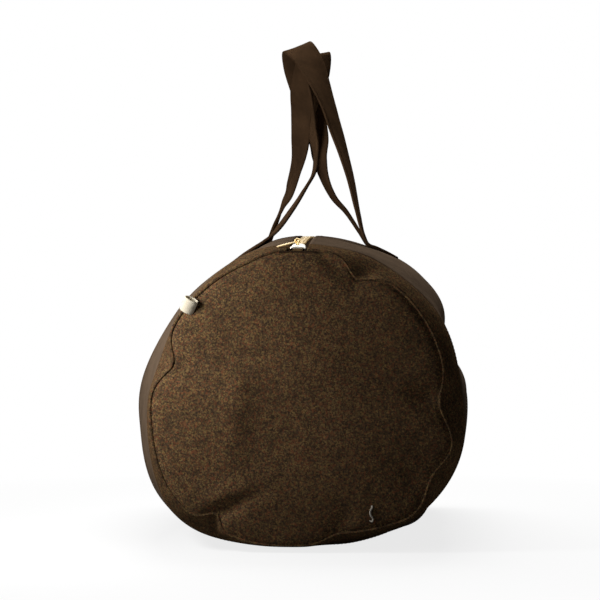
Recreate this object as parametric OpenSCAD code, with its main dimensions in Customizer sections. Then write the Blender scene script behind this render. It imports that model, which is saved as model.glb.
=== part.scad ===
// Weekender bag: a barrel of cloth lying on its side, with a zip along the top and two strap handles.
// The barrel's axis runs along Y, the photographed end is at -Y, and the base is flat on the floor at Z 0.

/* [Barrel] */
// Length of the bag from end panel to end panel
bag_length = 480; // [400:5:560]
// Diameter of the barrel at the middle of its length
belly_d = 306; // [290:2:330]
// Diameter of the barrel at its two ends
end_d = 262; // [250:2:275]
// Height of the barrel's axis above the floor
axis_height = 136; // [134:1:142]
// Distance that the lower left of the body sags out to its side
left_sag = 20; // [14:1:24]
// Distance that the lower right of the body sags out to its side
right_sag = 13; // [8:1:18]
// Thickness of the cloth of the body and of the end bands
cloth_t = 2.4; // [1.6:0.2:3.2]
// Thickness of the two round end panels
panel_t = 2.4; // [1.6:0.2:3.2]
// Width of the tweed band that wraps each end
band_w = 40; // [36:1:55]

/* [Lining] */
// Thickness of the lining cloth
lining_t = 1; // [0.6:0.1:1.6]
// Thickness of the binding over the raw seam edges
binding_t = 1.2; // [0.8:0.1:1.6]
// Width of the seam allowance that the binding covers
binding_w = 10; // [6:1:14]
// Slack between the outer cloth and the lining
lining_slack = 0.4; // [0.2:0.1:1]

/* [Mouth and zip] */
// Distance from the zip's centre to the line where the mouth cloth folds up
mouth_half = 44; // [38:1:47]
// Room between the slider and the cloth edge on each side of the zip
zip_room = 2.5; // [1.5:0.5:4]
// Width of zip tape that is sewn under the cloth edge
tape_tuck = 8; // [6:1:10]
// Thickness of the zip tape
tape_t = 0.8; // [0.6:0.1:1]
// Distance from one tooth to the next on the same tape
tooth_pitch = 4; // [3.8:0.2:5]
// Thickness of a tooth along the zip
tooth_t = 1.4; // [1:0.1:1.4]
// Height of a tooth above its tape
tooth_h = 1.6; // [1.2:0.1:2]
// Reach of a tooth past the middle of the zip
tooth_head = 1.3; // [1:0.1:1.6]
// Length of a tooth on its own tape
tooth_leg = 2.5; // [2:0.1:3]
// Length of the stop at each end of the teeth
stop_l = 2.5; // [2:0.5:4]
// Height of the stop above the tape
stop_h = 2; // [1.6:0.1:2.6]

/* [Slider] */
// Distance from the parked slider to the stop at the near end
stop_room = 1.5; // [1:0.5:4]
// Length of the slider along the zip
slider_l = 15; // [12:1:18]
// Thickness of the slider's plate
slider_t = 1.4; // [1:0.1:2]
// Width of the flange down each side of the slider
flange_w = 1.4; // [1:0.1:1.8]
// Radius of the bar that carries the pull
bar_r = 0.7; // [0.5:0.1:0.9]
// Mean radius of the pull's ring
ring_r = 2.2; // [2:0.1:3]
// Radius of the ring's wire
wire_r = 0.6; // [0.4:0.05:0.6]
// Length of the pull tab from its hole to its tip
tab_l = 17; // [12:1:22]
// Width of the pull tab
tab_w = 5; // [4:0.5:7]
// Thickness of the pull tab
tab_t = 0.9; // [0.6:0.1:1.2]
// Angle at which the pull hangs down to the left
pull_droop = 15; // [10:1:18]

/* [Handles] */
// Width of the strap
strap_w = 30; // [24:1:36]
// Thickness of the strap
strap_t = 3; // [2:0.2:4]
// Distance from the bag's middle to the centre of each sewn strap end
anchor_y = 100; // [85:1:125]
// Distance from the mouth's fold line out to the line where a handle bends
anchor_inset = 8; // [6:1:14]
// Length of strap sewn down on the body, measured across the bag
anchor_reach = 31; // [24:1:40]
// Height of the left handle's top above the line where it bends
left_rise = 166; // [150:1:180]
// Height by which the right handle's top stands over the left one
nest_rise = 29; // [27:1:34]

/* [Label] */
// Width of the woven label
label_w = 15; // [10:1:20]
// Length of label that stands out of the seam
label_l = 11; // [8:1:16]
// Thickness of the folded label
label_t = 1.6; // [1:0.1:2.2]
// Angle of the label round the end panel, from the right and upwards
label_angle = 138; // [120:1:150]

/* [Hidden] */

TWEED = [0.24, 0.18, 0.12];
CANVAS = [0.30, 0.24, 0.19];
STRAP = [0.20, 0.15, 0.11];
LINING = [0.45, 0.40, 0.34];
TAPE = [0.26, 0.20, 0.15];
BRASS = [0.78, 0.62, 0.30];
CREAM = [0.87, 0.83, 0.74];

// Room between pieces of different bodies
clearance = 0.4;
// Free room round the pull's ring and in its hole
ring_play = 0.25;
// Smoothness of the turned surfaces and of the long arc along the bag
turn_fn = 120;
arc_fn = 720;
// Drop of a sag for each unit that it stands out to the side
sag_fall = 1.2;

// Route of each handle from its near foot to its far foot. A point has its place across the bag and along it
// as shares of the foot's, its height as a share of the handle's rise, and the turn of the strap's width,
// which lies along the bag at 0 and 180 and along the handle's slant at 90.
left_slant = [-0.66, 0, 0.75];
left_route = [
  [-1, -1, 0, 0], [-0.94, -0.99, 0.1, 0], [-0.73, -0.93, 0.23, 1], [-0.38, -0.84, 0.33, 2],
  [-0.12, -0.74, 0.42, 3], [0.02, -0.63, 0.53, 3], [0.05, -0.49, 0.71, 6], [0.06, -0.25, 0.86, 20],
  [0.12, -0.11, 0.97, 60], [0.15, 0, 1, 90], [0.08, 0.12, 0.96, 105], [-0.1, 0.22, 0.87, 122],
  [-0.19, 0.33, 0.78, 132], [-0.27, 0.47, 0.66, 140], [-0.35, 0.55, 0.55, 152], [-0.48, 0.69, 0.42, 162],
  [-0.65, 0.82, 0.29, 173], [-0.83, 0.92, 0.17, 178], [-0.96, 0.99, 0.07, 180], [-1, 1, 0, 180]
];
right_slant = [0.89, 0, 0.45];
right_route = [
  [1, -1, 0, 0], [0.96, -0.99, 0.07, 0], [0.89, -0.91, 0.14, 4], [0.78, -0.78, 0.3, 12],
  [0.65, -0.7, 0.42, 17], [0.5, -0.63, 0.545, 25], [0.36, -0.56, 0.665, 30], [0.16, -0.45, 0.79, 42],
  [-0.1, -0.2, 0.94, 66], [-0.25, 0, 1, 90], [-0.25, 0.18, 0.93, 108], [-0.17, 0.41, 0.77, 125],
  [-0.05, 0.52, 0.67, 138], [0.06, 0.61, 0.57, 148], [0.11, 0.67, 0.47, 158], [0.21, 0.76, 0.37, 166],
  [0.42, 0.85, 0.285, 170], [0.73, 0.93, 0.19, 174], [0.94, 0.99, 0.09, 180], [1, 1, 0, 180]
];

half_l = bag_length / 2;
belly_r = belly_d / 2;
end_r = end_d / 2;
swell = belly_r - end_r;
// Radius of the arc that the barrel's outline follows along its length
arc_r = arc_through(half_l, swell);
// Distance from the barrel's axis down to the arc's centre
arc_drop = arc_r - belly_r;
band_y = half_l - band_w;
mouth_y = band_y - clearance;
lining_d = cloth_t + binding_t + lining_slack;
big = 2 * bag_length;

// Radius of the arc through a middle and two ends, where the middle stands higher by rise
function arc_through(half, rise) = (half * half + rise * rise) / (2 * rise);

// Radius of the barrel at a place along its length
function barrel_r(y) = sqrt(arc_r * arc_r - y * y) - arc_drop;

// Zip chain: its centre line is an arc about the same centre as the barrel's outline
chain_depth = cloth_t + tape_t / 2;
chain_r = arc_r - chain_depth;
chain_z = axis_height - arc_drop;
chain_end = half_l - panel_t - clearance;
park_y = chain_end - stop_l - stop_room - slider_l / 2;
park_angle = asin(park_y / chain_r);
pitch_angle = tooth_pitch / chain_r * 180 / PI;
mouth_teeth = floor((mouth_y - tooth_t) * 2 / tooth_pitch / 2) * 2;
end_teeth = floor((chain_end - stop_l - band_y - tooth_t) / tooth_pitch);

// Zip across its width: teeth on the two tapes, slider over them, cloth edges beside the slider
tape_edge = tooth_head + clearance;
tooth_out = tape_edge + tooth_leg;
slider_w = 2 * (tooth_out + clearance + flange_w);
zip_gap = slider_w + 2 * zip_room;
tape_out = zip_gap / 2 + tape_tuck;

// Slider, measured from the chain's centre line
tape_top = tape_t / 2;
plate_z = tape_top + tooth_h + clearance;
flange_z = tape_top + clearance;
post_inset = 2.5;
ring_shift = ring_r - wire_r - bar_r - ring_play;
bar_z = plate_z + slider_t + ring_r + wire_r + ring_shift + clearance;
bar_post = 2 * bar_r;
bar_half = slider_l / 2 - post_inset;
hole_x = ring_shift + ring_r;
hole_r = wire_r + ring_play;
eye_rim = 0.8;
eye_r = hole_r + eye_rim;

// Handle bend line: just above the sewn strap ends, at the higher edge of the strap
anchor_x = mouth_half + anchor_inset;
bend_out = barrel_r(anchor_y - strap_w / 2) + strap_t * 1.5 + clearance;
bend_z = axis_height + sqrt(bend_out * bend_out - anchor_x * anchor_x);
foot_rings = 3;
span_rings = 2;

// Round solid about the Y axis, with an arc for its outline and its skin moved inwards by depth
module turned(middle_r, outline_r, depth) {
  rotate([-90, 0, 0])
    rotate_extrude($fn = turn_fn)
      intersection() {
        translate([middle_r - outline_r, 0]) circle(r = outline_r - depth, $fn = arc_fn);
        translate([0, -half_l]) square([middle_r + strap_t, bag_length]);
      }
}

// Sag of one side: a slimmer round solid, moved out and down, that runs into the barrel at the bands
module sag(out, depth) {
  fall = abs(out) * sag_fall;
  middle_r = belly_r - abs(out);
  rise = middle_r + norm([out, fall]) - barrel_r(band_y);
  translate([out, 0, axis_height - fall]) turned(middle_r, arc_through(band_y, rise), depth);
}

// Solid body with its skin moved inwards by depth, flat at the base
module barrel(depth) {
  intersection() {
    union() {
      translate([0, 0, axis_height]) turned(belly_r, arc_r, depth);
      sag(-left_sag, depth);
      sag(right_sag, depth);
    }
    translate([-big / 2, -big / 2, depth]) cube(big);
  }
}

// Skin between two depths, from one place along the length to another
module skin(outer, inner, y0, y1) {
  intersection() {
    difference() {
      barrel(outer);
      barrel(inner);
    }
    translate([-big / 2, y0, -big / 2]) cube([big, y1 - y0, big]);
  }
}

// Upright block over the top half of the barrel
module top_block(x0, x1, y0, y1) {
  translate([x0, y0, axis_height]) cube([x1 - x0, y1 - y0, big]);
}

// Round plate across the barrel with its skin at a depth
module end_plate(depth, y0, y1) {
  intersection() {
    barrel(depth);
    translate([-big / 2, y0, -big / 2]) cube([big, y1 - y0, big]);
  }
}

// Side of the body from the mouth's fold line down to the seam under the bag
module body_panel(side) {
  color(CANVAS) difference() {
    skin(0, cloth_t, -band_y, band_y);
    translate([side < 0 ? 0 : -big, -big / 2, -big / 2]) cube(big);
    top_block(-mouth_half, mouth_half, -big / 2, big / 2);
  }
}

module end_panel(side) {
  y0 = side < 0 ? -half_l : half_l - panel_t;
  color(TWEED) end_plate(0, y0, y0 + panel_t);
}

// Band round one end, open at the top for the zip
module end_band(side) {
  y0 = side < 0 ? -half_l + panel_t : band_y;
  color(TWEED) difference() {
    skin(0, cloth_t, y0, y0 + band_w - panel_t);
    top_block(-zip_gap / 2, zip_gap / 2, -big / 2, big / 2);
  }
}

// Binding over the raw edges where an end panel meets its band, open under the zip
module seam_binding(side) {
  y0 = side < 0 ? -half_l + panel_t : half_l - panel_t - binding_w;
  color(STRAP) difference() {
    skin(cloth_t, cloth_t + binding_t, y0, y0 + binding_w);
    top_block(-tape_out - clearance, tape_out + clearance, -big / 2, big / 2);
  }
}

// Tape over the seam that joins the two sides under the bag
module bottom_seam_tape() {
  color(STRAP) intersection() {
    skin(cloth_t, cloth_t + binding_t, -band_y, band_y);
    translate([-binding_w / 2, -big / 2, -big / 2]) cube([binding_w, big, axis_height + big / 2]);
  }
}

// Lining of the barrel, left open under the mouth and the zip
module lining_body() {
  lining_y = half_l - panel_t - lining_slack - lining_t;
  color(LINING) difference() {
    skin(lining_d, lining_d + lining_t, -lining_y, lining_y);
    top_block(-mouth_half, mouth_half, -big / 2, big / 2);
  }
}

module lining_end(side) {
  y0 = side < 0 ? -half_l + panel_t + lining_slack : half_l - panel_t - lining_slack - lining_t;
  color(LINING) end_plate(lining_d, y0, y0 + lining_t);
}

// Cloth beside the zip, which folds up along its outer line
module mouth_panel(side) {
  x0 = side < 0 ? -mouth_half + clearance : zip_gap / 2;
  color(CANVAS) intersection() {
    skin(0, cloth_t, -mouth_y, mouth_y);
    top_block(x0, x0 + mouth_half - clearance - zip_gap / 2, -mouth_y, mouth_y);
  }
}

// Tape under the cloth beside the zip
module zip_tape(side) {
  x0 = side < 0 ? -tape_out : tape_edge;
  color(TAPE) intersection() {
    skin(cloth_t, cloth_t + tape_t, -mouth_y, mouth_y);
    top_block(x0, x0 + tape_out - tape_edge, -mouth_y, mouth_y);
  }
}

// Closed end of the zip's tapes, sewn under a band
module zip_tape_end(side) {
  y0 = side < 0 ? -chain_end : band_y;
  color(TAPE) intersection() {
    skin(cloth_t, cloth_t + tape_t, y0, y0 + chain_end - band_y);
    top_block(-tape_out, tape_out, y0, y0 + chain_end - band_y);
  }
}

// Place on the zip's arc, at an angle from its middle towards +Y
module on_chain(angle) {
  translate([0, 0, chain_z])
    rotate([-angle, 0, 0])
      translate([0, 0, chain_r]) children();
}

// One tooth, which starts on its own tape and reaches past the middle
module tooth(side) {
  translate([side < 0 ? -tooth_out : -tooth_head, -tooth_t / 2, tape_top])
    cube([tooth_out + tooth_head, tooth_t, tooth_h]);
}

// Row of teeth along one side of the mouth, half a pitch out of step with the other side
module zip_teeth(side) {
  step = side < 0 ? 0 : 0.5;
  color(BRASS) for (i = [0 : mouth_teeth - 1])
    on_chain((i + step - mouth_teeth / 2 + 0.25) * pitch_angle) tooth(side);
}

// Closed teeth of both sides at one end of the zip
module zip_teeth_end(side) {
  first = asin(band_y / chain_r) + pitch_angle / 2;
  color(BRASS) for (i = [0 : end_teeth - 1]) {
    on_chain(side * (first + i * pitch_angle)) tooth(-1);
    on_chain(side * (first + (i + 0.5) * pitch_angle)) tooth(1);
  }
}

// Stop clamped over both tapes at one end of the zip
module zip_stop(side) {
  stop_angle = asin((chain_end - stop_l / 2) / chain_r);
  color(BRASS) on_chain(side * stop_angle)
    translate([-tooth_out, -stop_l / 2, tape_top]) cube([2 * tooth_out, stop_l, stop_h]);
}

// Slider plate with its side flanges and the bar over it
module zip_slider() {
  color(BRASS) on_chain(-park_angle) {
    translate([-slider_w / 2, -slider_l / 2, plate_z]) cube([slider_w, slider_l, slider_t]);
    for (side = [-1, 1]) {
      translate([side * (slider_w - flange_w) / 2 - flange_w / 2, -slider_l / 2, flange_z])
        cube([flange_w, slider_l, plate_z - flange_z + slider_t / 2]);
      translate([-bar_r, side * bar_half - bar_post / 2, plate_z + slider_t / 2])
        cube([2 * bar_r, bar_post, bar_z - plate_z - slider_t / 2 + bar_r]);
    }
    translate([0, -bar_half, bar_z]) rotate([-90, 0, 0]) cylinder(r = bar_r, h = 2 * bar_half, $fn = 48);
  }
}

// Place on the slider's bar, turned so that +X points along the hanging pull
module on_bar() {
  on_chain(-park_angle)
    translate([0, 0, bar_z])
      rotate([0, 180 - pull_droop, 0]) children();
}

// Ring round the slider's bar
module pull_link() {
  color(BRASS) on_bar()
    translate([ring_shift, 0, 0])
      rotate([90, 0, 0])
        rotate_extrude($fn = 64) translate([ring_r, 0]) circle(r = wire_r, $fn = 32);
}

// Flat tab with an eye for the ring and a round tip
module pull_tab() {
  tip_r = tab_w / 2;
  color(BRASS) on_bar()
    translate([hole_x, 0, -tab_t / 2])
      difference() {
        union() {
          cylinder(r = eye_r, h = tab_t, $fn = 48);
          translate([0, -eye_r, 0]) cube([tab_l / 2, 2 * eye_r, tab_t]);
          translate([tab_l / 3, -tip_r, 0]) cube([tab_l * 2 / 3 - tip_r, tab_w, tab_t]);
          translate([tab_l - tip_r, 0, 0]) cylinder(r = tip_r, h = tab_t, $fn = 48);
        }
        translate([0, 0, -tab_t]) cylinder(r = hole_r, h = 3 * tab_t, $fn = 48);
      }
}

// Point of the smooth curve through a list of points, at a share of the way from one of them to the next
function between(list, i, t) = let (
  p = list[max(i - 1, 0)],
  q = list[i],
  r = list[i + 1],
  s = list[min(i + 2, len(list) - 1)])
  q + t / 2 * (r - p) + t * t / 2 * (2 * p - 5 * q + 4 * r - s) + t * t * t / 2 * (3 * q - p - 3 * r + s);

function unit(v) = v / norm(v);

// Handle strap: a flat strip swept along its route, with rounded feet over the sewn ends
module handle(route, slant, rise) {
  spans = len(route) - 1;
  steps = span_rings * spans - 1;
  curve = [
    for (k = [0 : steps]) between(route, floor(k / span_rings), k % span_rings / span_rings),
    route[spans]
  ];
  line = [for (p = curve) [p[0] * anchor_x, p[1] * anchor_y, bend_z + p[2] * rise]];
  count = len(line);
  walks = [for (i = [0 : count - 1]) unit(line[min(i + 1, count - 1)] - line[max(i - 1, 0)])];

  // Centre, walking direction, turn and share of the thickness at each ring, from near to far foot
  foot_turns = [for (i = [1 : foot_rings]) 90 * i / (foot_rings + 0.5)];
  near_foot = [for (i = [foot_rings - 1 : -1 : 0]) let (a = foot_turns[i])
    [line[0] - walks[0] * strap_t / 2 * sin(a), walks[0], 0, cos(a)]];
  legs = [for (i = [0 : count - 1]) [line[i], walks[i], curve[i][3], 1]];
  far_foot = [for (a = foot_turns)
    [line[count - 1] + walks[count - 1] * strap_t / 2 * sin(a), walks[count - 1], 180, cos(a)]];
  rings = concat(near_foot, legs, far_foot);

  // Four corners of each ring
  corners = [for (r = rings) let (
    turned = [0, cos(r[2]), 0] + slant * sin(r[2]),
    wide = unit(turned - (turned * r[1]) * r[1]),
    thick = cross(r[1], wide))
    for (c = [[-1, -1], [1, -1], [1, 1], [-1, 1]])
      r[0] + wide * c[0] * strap_w / 2 + thick * c[1] * r[3] * strap_t / 2];
  last = 4 * (len(rings) - 1);
  sides = [for (i = [0 : len(rings) - 2]) for (k = [0 : 3]) let (
    a = 4 * i + k,
    b = 4 * i + (k + 1) % 4)
    each [[a, b, b + 4], [a, b + 4, a + 4]]];
  ends = [[2, 1, 0], [3, 2, 0], [last, last + 1, last + 2], [last, last + 2, last + 3]];
  color(STRAP) polyhedron(points = corners, faces = concat(sides, ends), convexity = 6);
}

// Strap end sewn flat on the body, outwards from the bend line
module strap_end(side, end) {
  inner_x = anchor_x - strap_t;
  x0 = side < 0 ? -anchor_x - anchor_reach : inner_x;
  y0 = end * anchor_y - strap_w / 2;
  color(STRAP) intersection() {
    skin(-strap_t, 0, y0, y0 + strap_w);
    top_block(x0, x0 + anchor_reach + strap_t, y0, y0 + strap_w);
  }
}

// Folded woven label that stands out of the seam of the near end panel
module label_loop() {
  label_y = -half_l + panel_t + label_t / 2;
  label_r = barrel_r(half_l - panel_t - label_t) + clearance;
  fold_r = label_t / 2;
  color(CREAM) translate([0, label_y, axis_height])
    rotate([0, -label_angle, 0])
      translate([label_r, 0, -label_w / 2]) {
        translate([0, -fold_r, 0]) cube([label_l - fold_r, label_t, label_w]);
        translate([label_l - fold_r, 0, 0]) cylinder(r = fold_r, h = label_w, $fn = 48);
      }
}

body_panel(-1);  // body_panel_left
body_panel(1);  // body_panel_right
end_panel(-1);  // near_end_panel
end_panel(1);  // far_end_panel
end_band(-1);  // near_end_band
end_band(1);  // far_end_band
seam_binding(-1);  // near_seam_binding
seam_binding(1);  // far_seam_binding
bottom_seam_tape();
lining_body();
lining_end(-1);  // lining_near_end
lining_end(1);  // lining_far_end
mouth_panel(-1);  // mouth_panel_left
mouth_panel(1);  // mouth_panel_right
zip_tape(-1);  // zip_tape_left
zip_tape(1);  // zip_tape_right
zip_teeth(-1);  // zip_teeth_left
zip_teeth(1);  // zip_teeth_right
zip_tape_end(-1);  // zip_tape_near
zip_tape_end(1);  // zip_tape_far
zip_teeth_end(-1);  // zip_teeth_near
zip_teeth_end(1);  // zip_teeth_far
zip_stop(-1);  // zip_stop_near
zip_stop(1);  // zip_stop_far
zip_slider();
pull_link();
pull_tab();
handle(left_route, left_slant, left_rise);  // handle_left
handle(right_route, right_slant, left_rise + nest_rise);  // handle_right
strap_end(-1, -1);  // strap_end_left_near
strap_end(-1, 1);  // strap_end_left_far
strap_end(1, -1);  // strap_end_right_near
strap_end(1, 1);  // strap_end_right_far
label_loop();
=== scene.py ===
"""Looks of the weekender bag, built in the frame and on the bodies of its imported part.

Lengths are millimetres until a mesh is made. Angles round the barrel are degrees from +X towards +Z, so that
90 is the top of the bag and 270 is the seam under it. The photographed end is at -Y.
"""

import logging
import math
from dataclasses import dataclass
from enum import Enum

import bpy
import numpy as np
from mathutils import Matrix, Vector


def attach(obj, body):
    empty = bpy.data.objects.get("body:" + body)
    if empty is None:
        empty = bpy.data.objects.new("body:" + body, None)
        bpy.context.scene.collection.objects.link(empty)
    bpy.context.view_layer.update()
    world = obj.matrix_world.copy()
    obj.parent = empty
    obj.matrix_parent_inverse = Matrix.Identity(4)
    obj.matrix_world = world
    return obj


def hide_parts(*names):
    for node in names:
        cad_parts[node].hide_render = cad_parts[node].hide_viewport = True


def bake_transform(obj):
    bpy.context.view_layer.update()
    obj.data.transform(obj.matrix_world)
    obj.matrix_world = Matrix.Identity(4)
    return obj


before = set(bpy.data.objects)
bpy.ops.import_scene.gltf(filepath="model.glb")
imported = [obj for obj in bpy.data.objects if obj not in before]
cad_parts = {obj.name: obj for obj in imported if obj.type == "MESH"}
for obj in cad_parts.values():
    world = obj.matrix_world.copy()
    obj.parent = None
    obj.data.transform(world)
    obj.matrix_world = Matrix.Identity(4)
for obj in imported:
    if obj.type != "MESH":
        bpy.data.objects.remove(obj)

LOG = logging.getLogger("weekender")
MM = 0.001
Array = np.ndarray
Material = bpy.types.Material
Piece = bpy.types.Object
Socket = bpy.types.NodeSocket
Sockets = bpy.types.NodeOutputs


class Body(str, Enum):
    """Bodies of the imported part."""

    BAG = "bag"
    LEFT_MOUTH = "left_mouth"
    RIGHT_MOUTH = "right_mouth"
    SLIDER = "slider"
    LINK = "link"
    TAB = "tab"
    LEFT_HANDLE = "left_handle"
    RIGHT_HANDLE = "right_handle"


class Slot(str, Enum):
    """Material slots of the record."""

    CANVAS = "canvas"
    TWEED = "tweed"
    STRAP = "strap"
    LINING = "lining"
    ZIP_TAPE = "zip_tape"
    BRASS = "brass"
    LABEL = "label"


class Named(Enum):
    """Choice whose name in small letters is part of the names of nodes and pieces."""

    @property
    def word(self) -> str:
        """Name in small letters."""
        return self.name.lower()


class Side(Named):
    """Sides of the bag, with the sign of X on each."""

    LEFT = -1
    RIGHT = 1

    @property
    def mouth(self) -> Body:
        """Body of the part of the mouth on this side."""
        return Body(self.word + "_mouth")

    @property
    def handle(self) -> Body:
        """Body of the handle on this side."""
        return Body(self.word + "_handle")


class End(Named):
    """Ends of the bag, with the sign of Y at each."""

    NEAR = -1
    FAR = 1


def smooth(t: Array) -> Array:
    """Smoothstep of t, held between 0 and 1."""
    s = np.clip(t, 0.0, 1.0)
    return s * s * (3.0 - 2.0 * s)


def turn_from(angle: Array, middle: float) -> Array:
    """Signed turn in degrees from a middle angle, between -180 and 180."""
    return (angle - middle + 180.0) % 360.0 - 180.0


def unit(v: Array) -> Array:
    """Vectors scaled to length 1."""
    return v / np.maximum(np.linalg.norm(v, axis=-1, keepdims=True), 1e-9)


def curve_through(points: Array, count: int) -> Array:
    """Smooth curve through control points.

    Each span is the cubic that passes through its two ends with slopes taken from their neighbours, and the
    parameter grows with the square root of the distance between the points.

    Args:
        points: Control points, one per row, of any width.
        count: Number of points on the result.

    Returns:
        Points at even steps of the parameter.
    """
    step = np.sqrt(np.linalg.norm(np.diff(points[:, :3], axis=0), axis=1))
    knots = np.concatenate([[0.0], np.cumsum(step)])
    slopes = np.gradient(points, knots, axis=0)
    t = np.linspace(0.0, knots[-1], count)
    k = np.clip(np.searchsorted(knots, t, side="right") - 1, 0, len(knots) - 2)
    h = (knots[k + 1] - knots[k])[:, None]
    s = ((t - knots[k]) / h[:, 0])[:, None]
    start = (1 + 2 * s) * (1 - s) ** 2 * points[k] + s * (1 - s) ** 2 * h * slopes[k]
    return start + s * s * (3 - 2 * s) * points[k + 1] + s * s * (s - 1) * h * slopes[k + 1]


def along(points: Array) -> Array:
    """Distance run along a line of points."""
    return np.concatenate([[0.0], np.cumsum(np.linalg.norm(np.diff(points, axis=0), axis=1))])


def grid_normals(p: Array) -> Array:
    """Unit normals of a grid of points: its change along the rows crossed with that along the columns."""
    return unit(np.cross(np.gradient(p, axis=0), np.gradient(p, axis=1)))


def quads(rows: int, columns: int, wrap: bool = False, around: bool = False, first: int = 0) -> Array:
    """Faces of a grid, four corners each, that look along its rows crossed with its columns.

    Args:
        rows: Number of rows of points.
        columns: Number of columns of points.
        wrap: Whether the last row joins the first.
        around: Whether the last column joins the first.
        first: Number of the grid's first point.

    Returns:
        One row of four point numbers for each face.
    """
    i = np.arange(rows if wrap else rows - 1)[:, None]
    j = np.arange(columns if around else columns - 1)[None]
    n = (i + 1) % rows
    m = (j + 1) % columns
    corners = (i * columns + j, n * columns + j, n * columns + m, i * columns + m)
    return np.stack(np.broadcast_arrays(*corners), -1).reshape(-1, 4) + first


def new_object(name: str, points: Array, faces: Array, uv: Array, material: Material) -> Piece:
    """Mesh object at the origin, made from whole arrays.

    Args:
        name: Name of the piece.
        points: Points in millimetres, one per row.
        faces: Four point numbers for each face. A triangle repeats its last corner.
        uv: Texture position of each point, in metres of cloth.
        material: Finish of the piece.

    Returns:
        The object, linked into the scene and shaded smooth.
    """
    mesh = bpy.data.meshes.new(name)
    used = np.ones(faces.shape, dtype=bool)
    used[:, 3] = faces[:, 2] != faces[:, 3]
    loops = faces[used]
    ends = np.cumsum(used.sum(1))
    mesh.vertices.add(len(points))
    mesh.vertices.foreach_set("co", (points * MM).astype(np.float32).ravel())
    mesh.loops.add(len(loops))
    mesh.loops.foreach_set("vertex_index", loops.astype(np.int32))
    mesh.polygons.add(len(faces))
    mesh.polygons.foreach_set("loop_start", np.concatenate([[0], ends[:-1]]).astype(np.int32))
    mesh.polygons.foreach_set("use_smooth", np.ones(len(faces), dtype=bool))
    mesh.uv_layers.new(name="cloth").data.foreach_set("uv", uv[loops].astype(np.float32).ravel())
    mesh.materials.append(material)
    mesh.update(calc_edges=True)
    made = bpy.data.objects.new(name, mesh)
    bpy.context.scene.collection.objects.link(made)
    return made


def sheet_shell(name: str, outer: Array, uv: Array, thickness: float, material: Material) -> Piece:
    """Closed piece of cloth: a grid, its copy one thickness inside it, and the edges between them.

    Args:
        name: Name of the piece.
        outer: Outer face, rows by columns by 3, whose rows crossed with its columns look outward.
        uv: Texture position of the grid, in metres.
        thickness: Thickness of the cloth.
        material: Finish of the piece.

    Returns:
        The object.
    """
    rows, columns = outer.shape[:2]
    count = rows * columns
    inner = outer - thickness * grid_normals(outer)
    number = np.arange(count).reshape(rows, columns)
    rim = np.concatenate([number[0], number[1:, -1], number[-1, -2::-1], number[-2:0:-1, 0]])
    past = np.roll(rim, -1)
    edge = np.stack([rim, past, past + count, rim + count], -1)
    faces = np.concatenate([quads(rows, columns), quads(rows, columns, first=count)[:, ::-1], edge])
    points = np.concatenate([outer.reshape(-1, 3), inner.reshape(-1, 3)])
    return new_object(name, points, faces, np.tile(uv.reshape(-1, 2), (2, 1)), material)


def swept(
    name: str,
    path: Array,
    across: Array,
    up: Array,
    outline: Array,
    material: Material,
    closed: bool = False,
    caps: Array | None = None,
) -> Piece:
    """Solid made by carrying a closed outline along a path.

    Each point of the surface is a point of the path, plus a corner's first value times the direction across
    there, plus the corner's second value times the direction up.

    Args:
        name: Name of the piece.
        path: Middle of the outline at each step.
        across: First direction of the outline at each step.
        up: Second direction of the outline at each step.
        outline: Corners of the outline, anticlockwise when the path comes towards the eye. It may also be
            given for every step, with a shape of steps, corners and 2.
        material: Finish of the piece.
        closed: Whether the path ends where it starts, without repeating its first point.
        caps: Quads over an outline that is not convex, as numbers of its corners. Without them a fan closes
            each end.

    Returns:
        The object.
    """
    steps = len(path)
    ring = np.broadcast_to(outline, (steps, *outline.shape[-2:]))
    corners = ring.shape[1]
    grid = path[:, None] + ring[..., :1] * across[:, None] + ring[..., 1:] * up[:, None]
    girth = np.broadcast_to(along(ring[0]), (steps, corners)) * MM
    run = np.broadcast_to(along(path)[:, None], (steps, corners)) * MM
    uv = np.stack([girth, run], -1).reshape(-1, 2)
    points = grid.reshape(-1, 3)
    faces = [quads(steps, corners, closed, around=True)[:, ::-1]]
    if caps is not None:
        faces += [caps[:, ::-1], caps + (steps - 1) * corners]
    elif not closed:
        c = np.arange(corners)
        n = (c + 1) % corners
        low = len(points)
        end = low - corners
        faces.append(np.stack([np.full(corners, low), n, c, c], -1))
        faces.append(np.stack([np.full(corners, low + 1), end + c, end + n, end + n], -1))
        points = np.concatenate([points, grid[[0, -1]].mean(1)])
        uv = np.concatenate([uv, uv[[0, end]]])
    return new_object(name, points, np.concatenate(faces), uv, material)


def rounded_strip(width: float, thickness: float, across: int = 9) -> Array:
    """Outline of a flat strip with round edges, anticlockwise from the middle of its right edge.

    Args:
        width: Width over the edges.
        thickness: Thickness of the strip.
        across: Number of points on each flat face.

    Returns:
        Corners of the outline.
    """
    r = thickness / 2
    a = np.radians([0.0, 40.0])
    cap = np.stack([width / 2 - r + r * np.cos(a), r * np.sin(a)], -1)
    face = np.stack([np.linspace(width / 2 - r, r - width / 2, across), np.full(across, r)], -1)
    top = np.concatenate([cap, face, (cap * [-1, 1])[1:]])
    return np.concatenate([top, -top])


def round_wire(radius: float, corners: int = 8) -> Array:
    """Outline of a round wire."""
    a = np.linspace(0, 2 * math.pi, corners, endpoint=False)
    return radius * np.stack([np.cos(a), np.sin(a)], -1)


def side_frame(path: Array, hint: Array) -> tuple[Array, Array]:
    """Directions across a path, the first one square to the path and to a hint.

    Args:
        path: Points of the path.
        hint: Direction, or one direction for each point, that the second result stays close to.

    Returns:
        The directions across and up, with across, up and the path's run right-handed.
    """
    run = unit(np.gradient(path, axis=0))
    across = unit(np.cross(np.broadcast_to(hint, path.shape), run))
    return across, np.cross(run, across)


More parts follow.
